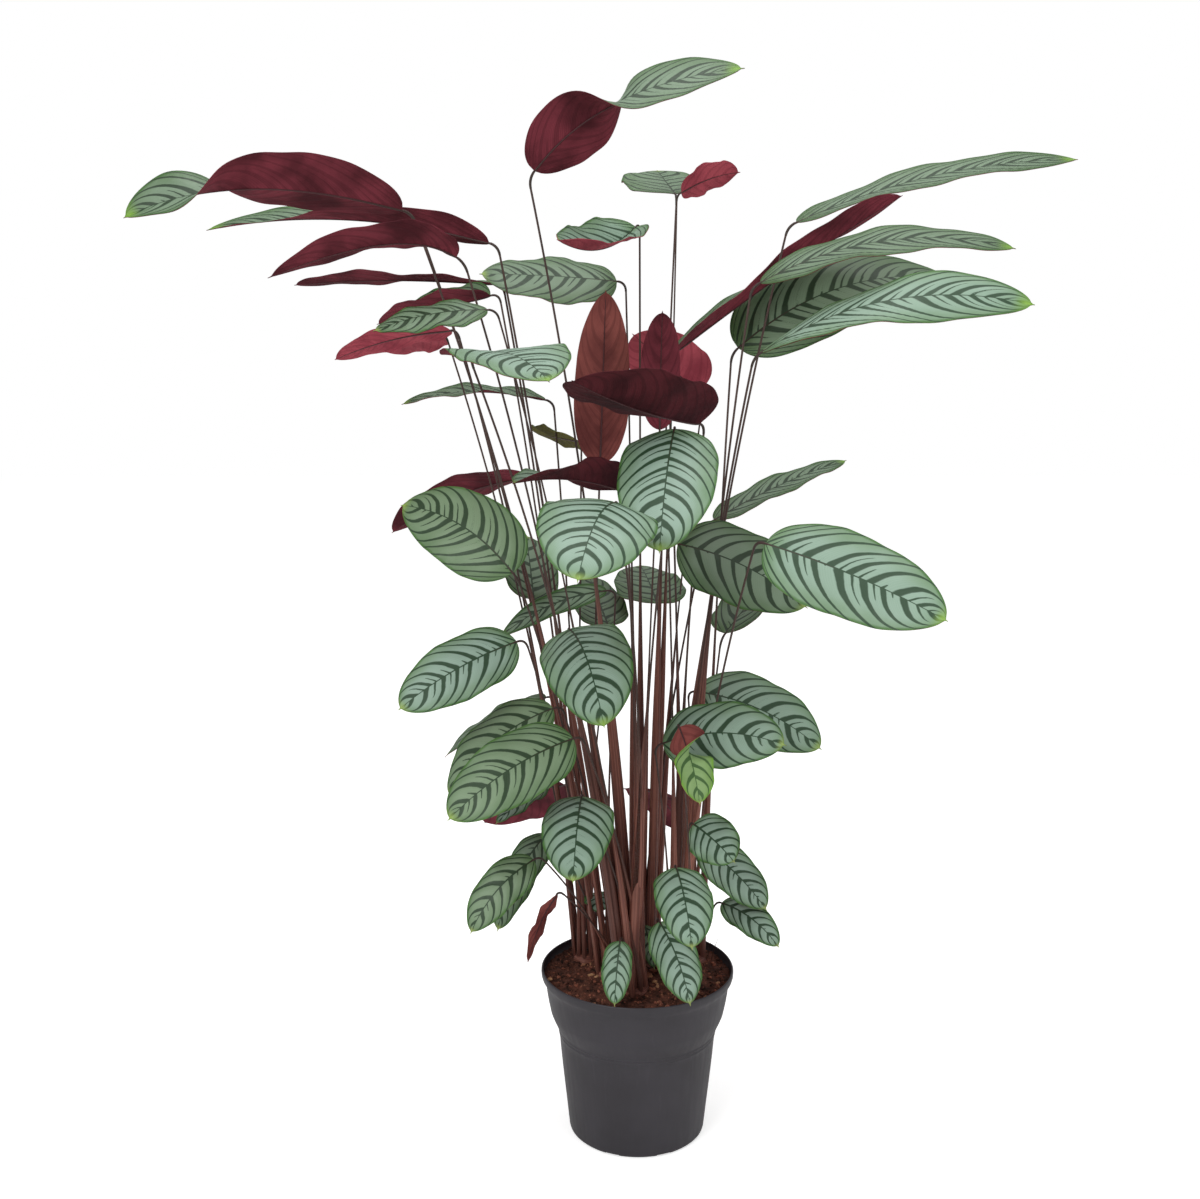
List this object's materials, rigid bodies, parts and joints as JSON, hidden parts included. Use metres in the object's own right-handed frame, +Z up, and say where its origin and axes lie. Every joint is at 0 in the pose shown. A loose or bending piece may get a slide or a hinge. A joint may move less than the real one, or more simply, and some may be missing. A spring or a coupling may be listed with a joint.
{
  "type": "potted never never plant",
  "caption": "Foliage plant with striped grey-green leaves, burgundy underneath, on thin stems from a round nursery pot filled with soil.",
  "frame": {"origin": "middle of the pot's flat underside, on the surface that the pot stands on", "axes": "+Z up along the pot's axis; the front of the plant looks along -Y; +X to the right seen from the front"},
  "size_m": [0.9734, 0.5863, 1.1441],
  "materials": {
    "pot": "matt dark grey moulded plastic, faint upright sheen",
    "soil": "loose dark brown peat and coir crumbs",
    "stem": "satin brown-red leaf sheaths with lengthwise streaks",
    "leaf": "satin grey-green upper face with dark stripes, burgundy underside"
  },
  "bodies": {
    "root": {"pot": "pot", "soil": "soil", "shoot_left": "stem", "shoot_front": "stem", "shoot_right": "stem", "shoot_back_left": "stem", "shoot_back_right": "stem", "shoot_far_right": "stem", "leaf_top": "leaf", "leaf_high_left_1": "leaf", "leaf_high_left_2": "leaf", "leaf_high_left_3": "leaf", "leaf_high_left_4": "leaf", "leaf_high_left_5": "leaf", "leaf_high_left_6": "leaf", "leaf_high_left_7": "leaf", "leaf_high_left_9": "leaf", "leaf_mid_high_left": "leaf", "leaf_edge_left": "leaf", "leaf_high_middle_1": "leaf", "leaf_high_middle_2": "leaf", "leaf_high_middle_3": "leaf", "leaf_high_middle_4": "leaf", "leaf_high_right_1": "leaf", "leaf_high_right_2": "leaf", "leaf_high_right_3": "leaf", "leaf_high_right_4": "leaf", "leaf_high_right_5": "leaf", "leaf_side_right": "leaf", "leaf_right_1": "leaf", "leaf_right_2": "leaf", "leaf_right_3": "leaf", "leaf_right_4": "leaf", "leaf_right_5": "leaf", "leaf_young_curled": "leaf", "leaf_right_6": "leaf", "leaf_low_right_1": "leaf", "leaf_low_right_2": "leaf", "leaf_low_right_4": "leaf", "leaf_low_right_5": "leaf", "leaf_middle_1": "leaf", "leaf_middle_2": "leaf", "leaf_middle_3": "leaf", "leaf_middle_4": "leaf", "leaf_middle_5": "leaf", "leaf_middle_6": "leaf", "leaf_middle_7": "leaf", "leaf_middle_9": "leaf", "leaf_left_1": "leaf", "leaf_left_2": "leaf", "leaf_left_3": "leaf", "leaf_left_4": "leaf", "leaf_left_5": "leaf", "leaf_left_6": "leaf", "leaf_left_7": "leaf", "leaf_left_8": "leaf", "leaf_left_9": "leaf", "leaf_low_left_1": "leaf", "leaf_low_left_2": "leaf", "leaf_low_left_3": "leaf"}
  },
  "joints": []
}
